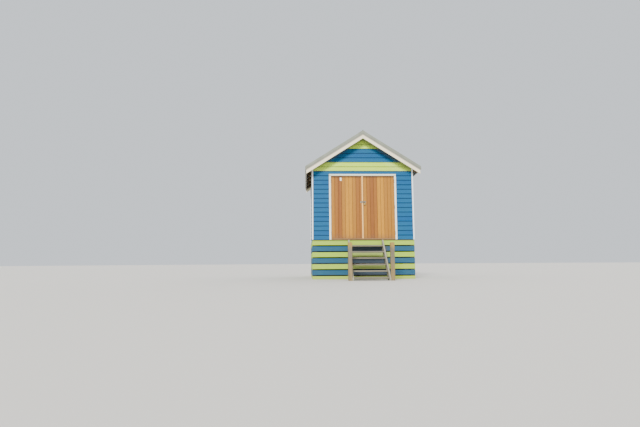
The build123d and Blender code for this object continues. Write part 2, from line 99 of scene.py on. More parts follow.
floor_shape = bmesh.new()
bmesh.ops.create_circle(floor_shape, cap_ends=True, radius=160, segments=96)
floor_mesh = bpy.data.meshes.new("studio_floor")
floor_shape.to_mesh(floor_mesh)
floor_shape.free()
studio_floor = bpy.data.objects.new("studio_floor", floor_mesh)
bpy.context.scene.collection.objects.link(studio_floor)
floor_finish, _, floor_shader, _ = new_material("studio_floor")
floor_shader.inputs["Base Color"].default_value = tint(0xD9D4CB)
floor_shader.inputs["Roughness"].default_value = 0.9
floor_mesh.materials.append(floor_finish)

world = bpy.data.worlds.new("studio")
world.use_nodes = True
surround = world.node_tree.nodes["Background"]
surround.inputs["Color"].default_value = tint(0xE4EAF0)
surround.inputs["Strength"].default_value = 1.15
bpy.context.scene.world = world

for lamp_name, strength, spread_angle, towards in (
    ("key", 4.3, 16, (0.3, 1.0, -0.62)),
    ("fill", 1.0, 60, (-0.6, -0.8, -0.9)),
):
    lamp = bpy.data.objects.new(lamp_name, bpy.data.lights.new(lamp_name, "SUN"))
    lamp.data.energy = strength
    lamp.data.angle = math.radians(spread_angle)
    lamp.rotation_mode = "QUATERNION"
    lamp.rotation_quaternion = Vector(towards).to_track_quat("-Z", "Y")
    bpy.context.scene.collection.objects.link(lamp)


# Under the floor: nine square stumps of old hardwood carry three bearers, and sawn joists lie
# across those. They are spiked together and left unpainted.
def coordinate(tree, place, axis):
    """One coordinate of a point."""
    return node(tree, "SeparateXYZ", {0: place}).outputs[axis]


def maths(tree, kind, first, second=0.0):
    """One sum on two values."""
    return node(tree, "Math", {0: first, 1: second}, operation=kind).outputs[0]


def between(tree, value, low, high, bottom, top):
    """Spread the part of a value between two bounds over a new range."""
    return node(tree, "MapRange", {"Value": value, "From Min": low, "From Max": high,
                                   "To Min": bottom, "To Max": top}).outputs["Result"]


def mix(tree, amount, under, over):
    """Lay one colour over another."""
    return node(tree, "Mix", {0: amount, 6: under, 7: over}, data_type="RGBA").outputs[2]


def scaled(tree, vector, by):
    """Stretch coordinates by a factor an axis."""
    return node(tree, "VectorMath", {0: vector, 1: by}, operation="MULTIPLY").outputs[0]


def noise(tree, vector, scale, detail, roughness):
    """Cloudy noise between 0 and 1."""
    return node(tree, "TexNoise", {"Vector": vector, "Scale": scale, "Detail": detail,
                                   "Roughness": roughness}).outputs["Fac"]


def bumped(tree, shader, height, strength, distance):
    """Raise the surface by a pattern."""
    bump = node(tree, "Bump", {"Strength": strength, "Distance": distance, "Height": height})
    tree.links.new(bump.outputs["Normal"], shader.inputs["Normal"])


def turned(tree, place, turn):
    """Turn coordinates so that the grain lies along a sloping piece."""
    if turn is None:
        return place
    return node(tree, "Mapping", {"Vector": place, "Rotation": turn}).outputs[0]


def boards_passed(tree, place, across, pitch, start):
    """How many boards, and what share of the next, lie between a start and a point."""
    return maths(tree, "DIVIDE", maths(tree, "SUBTRACT", coordinate(tree, place, across), start), pitch)


def board_tone(tree, number):
    """A tone between 0 and 1 that differs from board to board."""
    return node(tree, "TexWhiteNoise", {"W": number}, noise_dimensions="1D").outputs["Value"]


board_shift = {"X": 3.71, "Y": 1.37, "Z": 2.19}
fibre_length = 28


def board_grain(tree, place, along, number, fineness):
    """Coordinates drawn out into fibres along an axis, and shifted from board to board."""
    shift = {axis: maths(tree, "MULTIPLY", number, step) for axis, step in board_shift.items()}
    moved = node(tree, "VectorMath", {0: place, 1: node(tree, "CombineXYZ", shift).outputs[0]},
                 operation="ADD").outputs[0]
    stretch = [fineness] * 3
    stretch["XYZ".index(along)] = fineness / fibre_length
    return scaled(tree, moved, stretch)


def layered(tree, base, layers, place, **patterns):
    """Lay wear, dirt and painted shade over a colour in turn, each by where a point is and the patterns
    there.
    """
    axes = node(tree, "SeparateXYZ", {0: place}).outputs
    spot = {"X": axes["X"], "Y": axes["Y"], "Z": axes["Z"], **patterns}
    for layer in layers:
        base = layer(tree, base, spot)
    return base


def timber(name, pale, deep, streak, along, across="X", pitch=50.0, start=-25.0, turn=None,
           contrast=0.55, fineness=95.0, layers=()):
    """Bare or oiled timber: tone by board, bands of growth, any layers, and fine dark fibres."""
    material, tree, shader, place = new_material(name)
    place = turned(tree, place, turn)
    number = maths(tree, "FLOOR", boards_passed(tree, place, across, pitch, start))
    fibres = board_grain(tree, place, along, number, fineness)
    fine = noise(tree, fibres, 1.0, 4.0, 0.6)
    growth = noise(tree, scaled(tree, fibres, (0.22, 0.22, 0.22)), 1.0, 2.0, 0.5)
    tone = between(tree, board_tone(tree, number), 0, 1, 0.0, contrast)
    base = mix(tree, tone, tint(pale), tint(deep))
    base = mix(tree, between(tree, growth, 0.35, 0.7, 0.0, 0.6), base, tint(deep))
    base = layered(tree, base, layers, place, growth=growth)
    base = mix(tree, between(tree, fine, 0.52, 0.75, 0.0, 0.75), base, tint(streak))
    tree.links.new(base, shader.inputs["Base Color"])
    tree.links.new(between(tree, fine, 0.3, 0.7, 0.65, 0.85), shader.inputs["Roughness"])
    shader.inputs["Specular IOR Level"].default_value = 0.3
    bumped(tree, shader, fine, 0.35, 0.0015)
    return material


def give_finish(names, material):
    """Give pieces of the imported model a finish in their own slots."""
    for name in names:
        for slot in cad[name].material_slots:
            slot.material = material


# The under-floor timbers are dark in colour, which also stands in as painted shade under the floor.
bearer_pitch, bearer_start = 1.5, -0.8
joist_pitch, joist_start = 0.42, -1.9
old_post_timber = timber("old_post_timber", 0x4A4238, 0x383128, 0x26211B, along="Z", across="X",
                         pitch=bearer_pitch, start=bearer_start)
sawn_bearer_timber = timber("sawn_bearer_timber", 0x54483A, 0x40362B, 0x2A231C, along="Y", across="X",
                            pitch=bearer_pitch, start=bearer_start)
sawn_joist_timber = timber("sawn_joist_timber", 0x5A4C3C, 0x443A2E, 0x2C251D, along="X", across="Y",
                           pitch=joist_pitch, start=joist_start)
give_finish(["stumps"], old_post_timber)
give_finish(["bearers"], sawn_bearer_timber)
give_finish(["floor_joists"], sawn_joist_timber)

# Floor: tongued boards of pale hardwood, 130 mm wide, nailed to the joists with tight joints
# and left bare, with dirt trodden into them.
floor_board, floor_start = 0.13, -1.61
floor_timber = timber("floor_timber", 0xB79A74, 0x94764F, 0x5B4630, along="X", across="Y",
                      pitch=floor_board, start=floor_start, contrast=0.8)
give_finish(["floor"], floor_timber)


# Skirt: sawn boards nailed over the stumps on all four sides and painted lime and blue in turn,
# spaced in front and close elsewhere. The paint is chipped and splashed at the foot, with painted
# shade along the gaps, under the wall boards and behind the steps, where feet have scuffed it too.
def painted(name, coat, faded, along, across="Z", pitch=5.0, start=-2.6, rough=0.62, relief=0.22,
            grime_and_shade=0x6E6A5C, gloss=0.35, turn=None, layers=()):
    """House paint on boards: faded patches, grime in the grain, and any layers of wear, dirt and painted
    shade over it.
    """
    material, tree, shader, place = new_material(name)
    place = turned(tree, place, turn)
    passed = boards_passed(tree, place, across, pitch, start)
    number = maths(tree, "FLOOR", passed)
    share = maths(tree, "FRACT", passed)
    fibres = board_grain(tree, place, along, number, 90.0)
    fine = noise(tree, fibres, 1.0, 4.0, 0.6)
    clouds = noise(tree, place, 1.7, 4.0, 0.6)
    base = mix(tree, between(tree, board_tone(tree, number), 0, 1, 0.0, 0.45), tint(coat), tint(faded))
    base = mix(tree, between(tree, clouds, 0.4, 0.75, 0.0, 0.5), base, tint(faded))
    base = mix(tree, between(tree, fine, 0.55, 0.8, 0.0, 0.35), base, tint(grime_and_shade))
    base = layered(tree, base, layers, place, share=share, fibres=fibres, fine=fine, clouds=clouds)
    tree.links.new(base, shader.inputs["Base Color"])
    tree.links.new(between(tree, fine, 0.3, 0.7, rough - 0.08, rough + 0.12), shader.inputs["Roughness"])
    shader.inputs["Specular IOR Level"].default_value = gloss
    bumped(tree, shader, fine, relief, 0.001)
    return material


def chipped(tree, base, spot):
    """Flakes where the paint has come off and bare timber shows."""
    flakes = noise(tree, scaled(tree, spot["fibres"], (0.5, 0.5, 0.5)), 1.0, 5.0, 0.7)
    return mix(tree, between(tree, flakes, 0.66, 0.7, 0.0, 0.5), base, tint(0x8F7A60))


def gap_shade(strength, colour):
    """Shade along the lower edge of each board, above the gap, and less of it along the upper."""
    def layer(tree, base, spot):
        base = mix(tree, between(tree, spot["share"], 0.16, 0.24, strength, 0.0), base, tint(colour))
        return mix(tree, between(tree, spot["share"], 0.93, 0.99, 0.0, strength * 0.7), base, tint(colour))
    return layer


def shade_and_stain_band(low, high, at_low, at_high, colour):
    """A band that comes or goes between two levels, with its strength at each: mostly painted shade under
    an edge above, with dirt in it on the barges.
    """
    def layer(tree, base, spot):
        return mix(tree, between(tree, spot["Z"], low, high, at_low, at_high), base, tint(colour))
    return layer


def ragged(tree, value, pattern, reach, low=0.0, high=1.0):
    """Let a value wander with a pattern, so that what goes by it has no straight edge."""
    return maths(tree, "ADD", value, between(tree, pattern, low, high, -reach, reach))


def splashed(tree, base, spot):
    """Pale splashes dried on the foot of the boards."""
    height = ragged(tree, spot["Z"], spot["clouds"], 0.12)
    return mix(tree, between(tree, height, 0.0, 0.16, 0.35, 0.0), base, tint(0xA89468))


def scuffed_and_shaded(strength, colour):
    """Painted shade behind the steps, up to the top tread, with the paint there rubbed and dirtied by feet
    as well.
    """
    def layer(tree, base, spot):
        from_middle = maths(tree, "ABSOLUTE", maths(tree, "SUBTRACT", spot["X"], behind_steps_middle))
        aside = ragged(tree, from_middle, spot["fine"], 0.02, 0.3, 0.7)
        shade_and_wear = maths(tree, "MULTIPLY", between(tree, aside, behind_steps_half, behind_steps_half + 0.16, 1.0, 0.0),
                     between(tree, spot["Z"], behind_steps_top, behind_steps_top + 0.03, strength, 0.0))
        return mix(tree, shade_and_wear, base, tint(colour))
    return layer


def link_piece(name, shape, material, body, smooth=False):
    """Make a finished shape a piece that rides on a body."""
    bmesh.ops.recalc_face_normals(shape, faces=shape.faces)
    mesh = bpy.data.meshes.new(name)
    shape.to_mesh(mesh)
    shape.free()
    mesh.materials.append(material)
    if smooth:
        mesh.shade_smooth()
    piece = bpy.data.objects.new(name, mesh)
    bpy.context.scene.collection.objects.link(piece)
    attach(piece, body)
    return piece


def eased_copy(name, source, material, body, width=0.003):
    """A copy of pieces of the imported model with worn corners, which stands for them."""
    shape = bmesh.new()
    for label in source:
        shape.from_mesh(cad[label].data)
    bmesh.ops.remove_doubles(shape, verts=shape.verts, dist=0.00001)
    bmesh.ops.dissolve_limit(shape, angle_limit=math.radians(0.5), verts=shape.verts, edges=shape.edges)
    piece = link_piece(name, shape, material, body)
    ease = piece.modifiers.new("eased corners", "BEVEL")
    ease.width = width
    ease.segments = 2
    ease.limit_method = "ANGLE"
    ease.angle_limit = math.radians(40)
    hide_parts(*source)
    return piece


skirt_rows, skirt_pitch = 7, 0.19
top_board_foot, skirt_gap, edge_margin = 1.080, 0.030, 0.001
skirt_start = top_board_foot - skirt_gap + edge_margin - (skirt_rows - 1) * skirt_pitch
# Painted shade along the head of the top skirt board, under the wall boards.
shade_under_wall_boards = (1.195, 1.235, 0.0, 0.75)
# Where the painted shade behind the steps lies: its middle, half its width, and its top.
behind_steps_middle, behind_steps_half, behind_steps_top = 0.16, 0.56, 1.05
blue_shade, lime_shade = 0x0A2C46, 0x70802A
# The lime on the skirt is a darker copy of the lime on the gables, painted shade for the dimmer light low
# down; the blue is duller than on the walls.
skirt_coats = (("lime", 0xA8CC34, 0xAEC448, lime_shade, (0.45, 0x8E8874)),
               ("blue", 0x17516F, 0x2A6076, blue_shade, (0.65, 0x4C4A4C)))
for face, finish, along in (("front", "stepped", "X"), ("back", "skirt", "X"), ("side", "flank", "Y")):
    for colour, coat, faded, shade, shade_and_scuffs in skirt_coats:
        layers = [chipped, gap_shade(0.7, shade), shade_and_stain_band(*shade_under_wall_boards, shade), splashed]
        if face == "front":
            layers.append(scuffed_and_shaded(*shade_and_scuffs))
        skirt_paint = painted(f"{finish}_{colour}", coat, faded, along=along, across="Z",
                              pitch=skirt_pitch, start=skirt_start, layers=layers)
        eased_copy(f"{face}_{colour}_skirt", [f"{face}_skirt_{colour}_boards"], skirt_paint, "hut")

# Walls: framed panels, lined inside with upright pine boards whose joints show, left bare. The
# lapped boards outside hide the rest of them.
lining_pine = (0xC9AE84, 0xA98D62, 0x6F5738)
lining_boards = {"pitch": 0.14, "start": -2.0, "contrast": 0.7}
wall_lining = timber("wall_lining", *lining_pine, along="Z", across="X", **lining_boards)
side_wall_lining = timber("side_wall_lining", *lining_pine, along="Z", across="Y", **lining_boards)
give_finish(["front_wall_left", "front_wall_right", "front_wall_over_doors", "back_wall"], wall_lining)
give_finish(["left_wall", "right_wall"], side_wall_lining)

# Lapped boards: tapered weatherboards, 150 mm apart, nailed to the walls from the bottom up so
# that each laps the one below. Painted blue, with two bands of lime across each gable.
half_width, half_depth = 1.625, 1.700
board_edge_x, board_edge_y = 1.618, 1.693
lap, first_lap, wall_foot = 0.150, 1.260, 1.262
butt_depth, top_depth, butt_ease = 0.021, 0.007, 0.002
doorway_side, head_top, head_gap = 1.098, 3.405, 0.0005
gable_top, side_top = 4.72, 3.57
gable_bands = ((3.51, 3.81), (4.26, 5.0))
band_margin = 0.01
roof_pitch = math.radians(32.4)
slope = math.tan(roof_pitch)
ridge_height = 4.7722
below_roof = 0.0415


def roof_z(x, level):
    """Height of the roof at x, at a level square to the slope."""
    return ridge_height - abs(x) * slope + level / math.cos(roof_pitch)


def lapped_board(shape, low, high, start, end, notch=0.0):
    """One tapered board, lying on the plane y = 0 and facing -Y, notched from below."""
    taper = (butt_depth - top_depth) / lap
    foot = low + notch
    butt = -butt_depth + taper * notch
    corners = ((0, foot), (butt + butt_ease, foot), (butt, foot + butt_ease),
               (-butt_depth + taper * (high - low), high), (0, high))
    section = shape.faces.new([shape.verts.new((start, depth, level)) for depth, level in corners])
    pushed = bmesh.ops.extrude_face_region(shape, geom=[section])
    moved = [item for item in pushed["geom"] if isinstance(item, bmesh.types.BMVert)]
    bmesh.ops.translate(shape, verts=moved, vec=(end - start, 0, 0))


def is_lime(low):
    """Whether the board that starts at this height lies in a lime band."""
    return any(bottom - band_margin <= low < top - band_margin for bottom, top in gable_bands)


def lapped_face(runs, top, lime, gable):
    """All boards of one colour on a face, cut to the slopes where it is a gable."""
    shape = bmesh.new()
    for low, high, *run in runs(top):
        if is_lime(low) == lime:
            lapped_board(shape, low, high, *run)
    if gable:
        for side in (-1, 1):
            away = Vector((side * math.sin(roof_pitch), 0, math.cos(roof_pitch)))
            bmesh.ops.bisect_plane(shape, geom=shape.verts[:] + shape.edges[:] + shape.faces[:],
                                   plane_co=(0, 0, roof_z(0, -below_roof)), plane_no=away, clear_outer=True)
            open_edges = [edge for edge in shape.edges if edge.is_boundary]
            bmesh.ops.holes_fill(shape, edges=open_edges)
    return shape


def board_rows(top):
    """Lowest and highest edge of each lapped board up to a height."""
    rows = []
    low = first_lap
    while low < top:
        rows.append((max(low, wall_foot), min(low + lap, top)))
        low = round(low + lap, 4)
    return rows


def front_runs(top):
    """Boards left and right of the doorway, and right across above it."""
    for low, high in board_rows(top):
        if low < head_top:
            for start, end in ((-board_edge_x, -doorway_side), (doorway_side, board_edge_x)):
                yield low, high, start, end
            if high > head_top:
                yield low, high, -doorway_side, doorway_side, head_top + head_gap - low
        else:
            yield low, high, -board_edge_x, board_edge_x


def back_runs(top):
    """Boards from corner to corner of the back wall."""
    for low, high in board_rows(top):
        yield low, high, -board_edge_x, board_edge_x


def side_runs(top):
    """Boards from corner to corner of a side wall."""
    for low, high in board_rows(top):
        yield low, high, -board_edge_y, board_edge_y


def lap_shade(strength, colour):
    """Shade under the lap, along the upper edge of each board."""
    def layer(tree, base, spot):
        share = ragged(tree, spot["share"], spot["clouds"], 0.05)
        return mix(tree, between(tree, share, 0.77, 0.95, 0.0, strength), base, tint(colour))
    return layer


def shade_and_lift_under_roof(grime_and_shade, painted_lift):
    """Painted shade with grime in it close under the roof, and paler paint within half a metre of it as
    painted light that lifts the shade there.
    """
    def layer(tree, base, spot):
        fall = maths(tree, "MULTIPLY", maths(tree, "ABSOLUTE", spot["X"]), slope)
        below = maths(tree, "SUBTRACT", maths(tree, "SUBTRACT", ridge_height, fall), spot["Z"])
        ragged_below = ragged(tree, below, spot["clouds"], 0.03)
        base = mix(tree, between(tree, ragged_below, 0.2, 0.3, grime_and_shade, 0.0), base, tint(0x66624E))
        return mix(tree, between(tree, below, 0.5, 0.62, painted_lift, 0.0), base, tint(0xF0FFF0))
    return layer


blue_coats, blue_look = (0x0B5588, 0x186588), {"grime_and_shade": 0x16405C, "gloss": 0.23}
lapped = {"across": "Z", "pitch": lap, "start": first_lap}
# Painted shade under each lap and close under the roof; on the lime, paler paint there as painted light.
lap_blue = painted("lap_blue", *blue_coats, along="X", **lapped, **blue_look,
                   layers=(lap_shade(0.9, blue_shade), shade_and_lift_under_roof(grime_and_shade=0.4, painted_lift=0.0)))
side_blue = painted("side_blue", *blue_coats, along="Y", **lapped, **blue_look,
                    layers=(lap_shade(0.9, blue_shade),))
lap_lime = painted("lap_lime", 0xC4EC3C, 0xC8E056, along="X", **lapped, grime_and_shade=0x84922F,
                   layers=(lap_shade(0.85, lime_shade), shade_and_lift_under_roof(grime_and_shade=0.5, painted_lift=0.06)))
gable_boards = (("_blue", False, lap_blue, "blue_paint"), ("_lime", True, lap_lime, "lime_paint"))
side_boards = (("", False, side_blue, "blue_paint"),)
wall_faces = (
    ("front", front_runs, gable_top, gable_boards, 0, half_depth),
    ("back", back_runs, gable_top, gable_boards, math.pi, half_depth),
    ("left", side_runs, side_top, side_boards, -math.pi / 2, half_width),
    ("right", side_runs, side_top, side_boards, math.pi / 2, half_width),
)
for face, runs, top, boards, turn, offset in wall_faces:
    for label, lime, finish, slot in boards:
        shape = lapped_face(runs, top, lime, boards is gable_boards)
        bmesh.ops.translate(shape, verts=shape.verts, vec=(0, -offset, 0))
        bmesh.ops.rotate(shape, verts=shape.verts, cent=(0, 0, 0), matrix=Matrix.Rotation(turn, 3, "Z"))
        link_piece(f"{face}{label}_weatherboards", shape, finish, "hut")

# Nails: flat galvanised heads, 7 mm across, one over each stud at the lower edge of every lapped
# board, punched flush and painted over, with a little rust bleeding through. Larger ones, 10 mm
# across, hold the skirt boards.
stud_pitch, stud_inset = 0.450, 0.03
nail_up, nail_below_roof = 0.035, 0.08
board_lean = 0.09
fixing_sink = 0.0003
skirt_front, skirt_side = 1.725, 1.650
skirt_nail_rises, skirt_nail_lines = (0.04, 0.12), (-1.58, -0.03, 0.03, 1.58)


def fixings(name, places, material, body, radius, height, sides=8, crown=0.7):
    """Heads of nails, screws or bolts: each place is a point on the surface and the way out of it."""
    shape = bmesh.new()
    for point, outward in places:
        turn = Vector(outward).to_track_quat("Z", "Y").to_matrix().to_4x4()
        bmesh.ops.create_cone(shape, cap_ends=True, segments=sides, radius1=radius, radius2=radius * crown,
                              depth=height, matrix=Matrix.Translation(point) @ turn
                              @ Matrix.Translation((0, 0, height / 2 - fixing_sink)))
    return link_piece(name, shape, material, body)


def metal(name, pale, dull, stain, rough, metallic, stretch, turn=None, speck=60.0, layers=()):
    """Weathered metal: dull clouds drawn out along one way, small specks of stain, and any layers."""
    material, tree, shader, place = new_material(name)
    place = turned(tree, place, turn)
    clouds = noise(tree, scaled(tree, place, stretch), 1.0, 4.0, 0.6)
    specks = noise(tree, place, speck, 2.0, 0.5)
    base = mix(tree, between(tree, clouds, 0.35, 0.7, 0.0, 1.0), tint(pale), tint(dull))
    base = mix(tree, between(tree, specks, 0.6, 0.8, 0.0, 0.5), base, tint(stain))
    base = layered(tree, base, layers, place, clouds=clouds)
    tree.links.new(base, shader.inputs["Base Color"])
    tree.links.new(between(tree, clouds, 0.3, 0.7, rough - 0.08, rough + 0.12), shader.inputs["Roughness"])
    shader.inputs["Metallic"].default_value = metallic
    bumped(tree, shader, specks, 0.08, 0.0005)
    return material


def stud_places(start, end):
    """Places of the studs along a run, one near each end."""
    gaps = max(1, math.ceil((end - start - 2 * stud_inset) / stud_pitch))
    return [start + stud_inset + (end - start - 2 * stud_inset) * gap / gaps for gap in range(gaps + 1)]


nail_metal = metal("nail_metal", 0x6E8C9A, 0x5A6E74, 0x6B4A34, rough=0.6, metallic=0.2,
                   stretch=(40, 40, 40), speck=300.0)
nail_depth = butt_depth - (butt_depth - top_depth) * nail_up / lap
for face, runs, top, boards, turn, offset in wall_faces:
    quarter = Matrix.Rotation(turn, 3, "Z")
    spots = []
    for low, high, start, end, *notch in runs(top):
        for along in stud_places(start, end):
            inside = boards is side_boards or low + nail_up < roof_z(along, -nail_below_roof)
            if high - low > 2 * nail_up and inside and not notch:
                spots.append((quarter @ Vector((along, -offset - nail_depth, low + nail_up)),
                              quarter @ Vector((0, -1, board_lean))))
    fixings(f"{face}_wall_nails", spots, nail_metal, "hut", radius=0.0035, height=0.0012,
            sides=6)

skirt_nails = []
for row in range(skirt_rows):
    for rise in skirt_nail_rises:
        level = top_board_foot + rise - row * skirt_pitch
        if level < 0:
            continue
        for along in skirt_nail_lines:
            for way in (-1, 1):
                skirt_nails.append(((along, way * skirt_front, level), (0, way, 0)))
                skirt_nails.append(((way * skirt_side, along, level), (way, 0, 0)))
fixings("skirt_nails", skirt_nails, nail_metal, "hut", radius=0.005, height=0.0015)

# Corner boards and architraves: dressed pine, painted white, nailed over the ends of the lapped
# boards. The jambs inside them carry the same paint, and the hardwood sill is left bare.
white_coats, white_look = (0xFAFDFE, 0xEEF4F6), {"grime_and_shade": 0xA9AFAE, "relief": 0.15}
trim_look = {"grime_and_shade": 0xABAC9E, "relief": 0.15}
# Painted shade along the lower edge of the head architrave, over the doors.
shade_over_doors = (3.342, 3.362, 0.85, 0.0)
white_upright = painted("white_upright", *white_coats, along="Z", across="X", **white_look)
white_level = painted("white_level", *white_coats, along="X", across="Z", **white_look)
trim_upright = painted("trim_upright", 0xF8FAEE, 0xEEF0E2, along="Z", across="X", **trim_look)
trim_level = painted("trim_level", 0xF6F6DA, 0xECECCE, along="X", across="Z", **trim_look,
                     layers=(shade_and_stain_band(*shade_over_doors, 0x4A3420),))
eased_copy("white_corner_boards", ["corner_boards"], white_upright, "hut")
eased_copy("white_side_architraves", ["side_architraves"], trim_upright, "hut")
eased_copy("white_head_architrave", ["head_architrave"], trim_level, "hut")
give_finish(["door_jambs"], trim_upright)
give_finish(["head_jamb"], white_level)
sill_timber = timber("sill_timber", 0xB28C60, 0x8C6C48, 0x523C28, along="X")
give_finish(["door_sill"], sill_timber)


# Roof frame: sawn rafters on a ridge board, with purlins laid flat across them, all bare pine
# gone dull and dark, which also stands in as painted shade under the eaves. The fascias and the
# blocks between the rafters are painted, but for the undersides of the fascias, which are bare
# timber darkened as painted shade.
def bare_and_shaded_below(tree, base, spot):
    """No paint on faces that look down: they are dark, as bare timber and as painted shade."""
    upward = coordinate(tree, node(tree, "NewGeometry").outputs["Normal"], "Z")
    return mix(tree, between(tree, upward, -0.7, -0.5, 1.0, 0.0), base, tint(0x5A4A38))


# Dark pine, which also stands in as painted shade under the eaves.
dull_and_shaded_pine, roof_pieces = (0x8C7658, 0x6A563C, 0x443524), {"pitch": 0.4, "start": -2.0}
roof_timber = timber("roof_timber", *dull_and_shaded_pine, along="X", across="Y", **roof_pieces)
purlin_timber = timber("purlin_timber", *dull_and_shaded_pine, along="Y", across="X", **roof_pieces)
give_finish(["rafters"], roof_timber)
give_finish(["purlins", "ridge_board"], purlin_timber)
cream_coats, cream_look = (0xFFF3D4, 0xF8E8C6), {"grime_and_shade": 0xB0A58F, "relief": 0.15}
# The fascias' undersides are dark: bare timber and painted shade.
cream_long = painted("cream_long", *cream_coats, along="Y", across="X", **cream_look, layers=(bare_and_shaded_below,))
give_finish(["fascias"], cream_long)
give_finish(["eave_blocks"], side_blue)

# Barge boards: wide dressed boards along both slopes of each gable, painted cream and nailed to
# the ends of the purlins, mitred at the ridge. Under the cappings' edge they carry painted shade,
# with dirt run on from the cappings in it.
slopes = (("left", -1), ("right", 1))
shade_under_capping = (3.908, 3.922, 0.0, 0.7)
for side, sign in slopes:
    cream_slope = painted(f"cream_slope_{side}", *cream_coats, along="X", across="Y", **cream_look,
                          turn=(0, -sign * roof_pitch, 0), layers=(shade_and_stain_band(*shade_under_capping, 0x7A766A),))
    eased_copy(f"{side}_cream_barge", [f"{side}_barge_boards"], cream_slope, "hut")

# Roof covering: corrugated sheets of galvanised steel, gone dull, screwed through their crests
# to the purlins. Folded grey cappings cover their ends and the barges, and a rolled cap the ridge.
wave_pitch, wave_height, sheet_thickness, sheet_seat = 0.076, 0.016, 0.0012, 0.0003
roof_front, roof_rear = -1.975, 1.825
sheet_near, sheet_far_x = 0.040, 1.870
waves, flats = round((roof_rear - roof_front) / wave_pitch), 12
screw_rows, first_screw_wave, waves_to_a_screw = (0.45, 1.413, 2.08), 2, 4
capping_dark = 0x6A675A
capping_look = {"pale": 0x8E9282, "dull": 0x808273, "stain": capping_dark, "rough": 0.55, "metallic": 0.2}
# The cappings grow darker towards their lower edge.
capping_foot = (3.943, 4.0, 0.55, 0.0)
trough_dirt = 0x8E8A80


def on_slope(sign, down, along, level):
    """A point so far down a slope from the ridge, and so far out from the slope."""
    return (sign * (down * math.cos(roof_pitch) + level * math.sin(roof_pitch)), along,
            ridge_height - down * math.sin(roof_pitch) + level * math.cos(roof_pitch))


def silted(colour):
    """Dirt washed down the troughs of the waves."""
    def layer(tree, base, spot):
        turns = maths(tree, "DIVIDE", maths(tree, "SUBTRACT", spot["Y"], roof_front), wave_pitch)
        wave = maths(tree, "COSINE", maths(tree, "MULTIPLY", turns, math.tau))
        silt = ragged(tree, wave, spot["clouds"], 0.3, 0.3, 0.7)
        return mix(tree, between(tree, silt, -1.1, 0.1, 0.45, 0.0), base, tint(colour))
    return layer


for side, sign in slopes:
    turn = (0, -sign * roof_pitch, 0)
    galvanised = metal(f"galvanised_{side}", 0xC3C7C6, 0xA2A6A3, trough_dirt, rough=0.48, metallic=0.55,
                       stretch=(0.6, 9.0, 0.6), turn=turn, layers=(silted(trough_dirt),))
    run = sheet_far_x / math.cos(roof_pitch) - sheet_near
    shape = bmesh.new()
    bmesh.ops.create_grid(shape, x_segments=4, y_segments=waves * flats, size=0.5)
    for vert in shape.verts:
        along = (vert.co.y + 0.5) * (roof_rear - roof_front)
        down = sheet_near + (vert.co.x + 0.5) * run
        level = sheet_seat + wave_height / 2 * (1 + math.cos(math.tau * along / wave_pitch))
        vert.co = on_slope(sign, down, roof_front + along, level)
    piece = link_piece(f"{side}_corrugated_sheet", shape, galvanised, "hut", smooth=True)
    thicken = piece.modifiers.new("sheet", "SOLIDIFY")
    thicken.thickness = sheet_thickness
    thicken.offset = 1
    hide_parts(f"{side}_roof_sheet")
    capping_metal = metal(f"capping_metal_{side}", **capping_look, stretch=(2.0, 6.0, 6.0), turn=turn,
                          layers=(shade_and_stain_band(*capping_foot, capping_dark),))
    give_finish([f"{side}_barge_cappings"], capping_metal)
ridge_metal = metal("ridge_metal", **capping_look, stretch=(6.0, 1.0, 6.0))
give_finish(["ridge_cap"], ridge_metal)

crest = sheet_seat + wave_height + sheet_thickness
roof_screws = []
for side, sign in slopes:
    outward = (sign * math.sin(roof_pitch), 0, math.cos(roof_pitch))
    for down in screw_rows:
        for wave in range(first_screw_wave, waves, waves_to_a_screw):
            roof_screws.append((on_slope(sign, down, roof_front + wave * wave_pitch, crest), outward))
screw_metal = metal("screw_metal", 0x9A9C9A, 0x7E807C, 0x7A5A40, rough=0.45, metallic=0.7,
                    stretch=(60, 60, 60), speck=200.0)
fixings("roof_screw_washers", roof_screws, screw_metal, "hut", radius=0.011, height=0.002,
        sides=12, crown=0.9)
fixings("roof_screw_heads", roof_screws, screw_metal, "hut", radius=0.006, height=0.0065,
        sides=6, crown=0.9)

# Doors: two leaves of upright V-jointed boards, oiled and gone from golden to reddish brown in
# the sun, on ledges and braces behind. A pale strip covers the meeting edge.
gold, tan, ruddy, red, dark_fibre, joint_dirt_and_shade = 0xCA8A1A, 0xB0751E, 0x9C601C, 0x8E521C, 0x5C3818, 0x3A2412
door_leaves = (
    ("left_door", -1.033, 0.1156, (tan, ruddy, red, tan, gold, gold, tan, ruddy, ruddy)),
    ("right_door", 0.0165, 0.1129, (tan, ruddy, red, ruddy, gold, gold, tan, tan, tan)),
)
# Painted shade across the head of each leaf, under the head architrave.
shade_under_head = (3.255, 3.315, 0.0, 0.75)


def own_tone(tree, number, tones):
    """The tone of each board of a leaf, which a list gives in order."""
    down_the_list = maths(tree, "DIVIDE", maths(tree, "ADD", number, 0.5), len(tones))
    board_tones = node(tree, "ValToRGB", {0: down_the_list})
    ramp = board_tones.color_ramp
    ramp.interpolation = "CONSTANT"
    for count, tone in enumerate(tones):
        stop = ramp.elements[0] if count == 0 else ramp.elements.new(count / len(tones))
        stop.color = tint(tone)
    ramp.elements.remove(ramp.elements[len(tones)])
    return board_tones.outputs[0]


def jointed(pitch):
    """Dirt in the V of each joint, 2 mm from its middle and gone by 7 mm."""
    def layer(tree, base, spot):
        off_middle = maths(tree, "ABSOLUTE", maths(tree, "SUBTRACT", spot["share"], 0.5))
        to_joint = maths(tree, "MULTIPLY", maths(tree, "SUBTRACT", 0.5, off_middle), pitch)
        return mix(tree, between(tree, to_joint, 0.002, 0.007, 0.75, 0.0), base, tint(joint_dirt_and_shade))
    return layer


